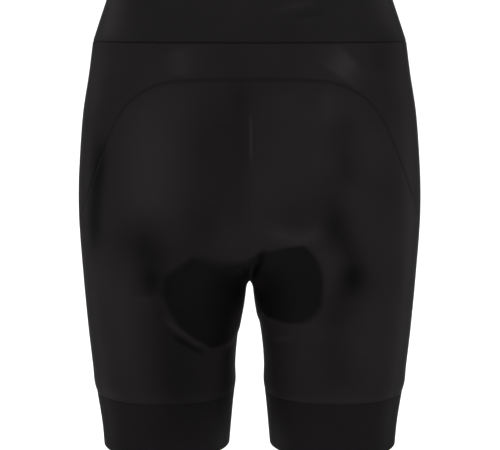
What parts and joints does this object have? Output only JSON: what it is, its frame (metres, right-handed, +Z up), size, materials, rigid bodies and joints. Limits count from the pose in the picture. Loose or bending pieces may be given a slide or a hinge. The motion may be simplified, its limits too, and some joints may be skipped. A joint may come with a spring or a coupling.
{
  "type": "cycling shorts",
  "caption": "Stretch cycling shorts filled out as worn, with a wide waistband, an arched back yoke, leg bands and a sewn-in seat pad.",
  "frame": {"origin": "middle of the waist opening, half way up the waistband, where the wearer's waist holds the shorts", "axes": "+Z up, -Y to the wearer's front, +X to the wearer's left"},
  "size_m": [0.3548, 0.2314, 0.4858],
  "materials": {
    "stretch_knit": "smooth black stretch knit with a soft low sheen",
    "waistband_knit": "double smooth black stretch knit",
    "leg_band_knit": "matt black elastic knit",
    "pad_cloth": "matt black brushed pad cloth over foam"
  },
  "bodies": {
    "root": {"waistband": "waistband_knit", "hip_yoke": "stretch_knit", "front_left": "stretch_knit", "front_right": "stretch_knit", "back_left": "stretch_knit", "back_right": "stretch_knit", "leg_band_left": "leg_band_knit", "leg_band_right": "leg_band_knit", "seat_pad": "pad_cloth"}
  },
  "joints": []
}
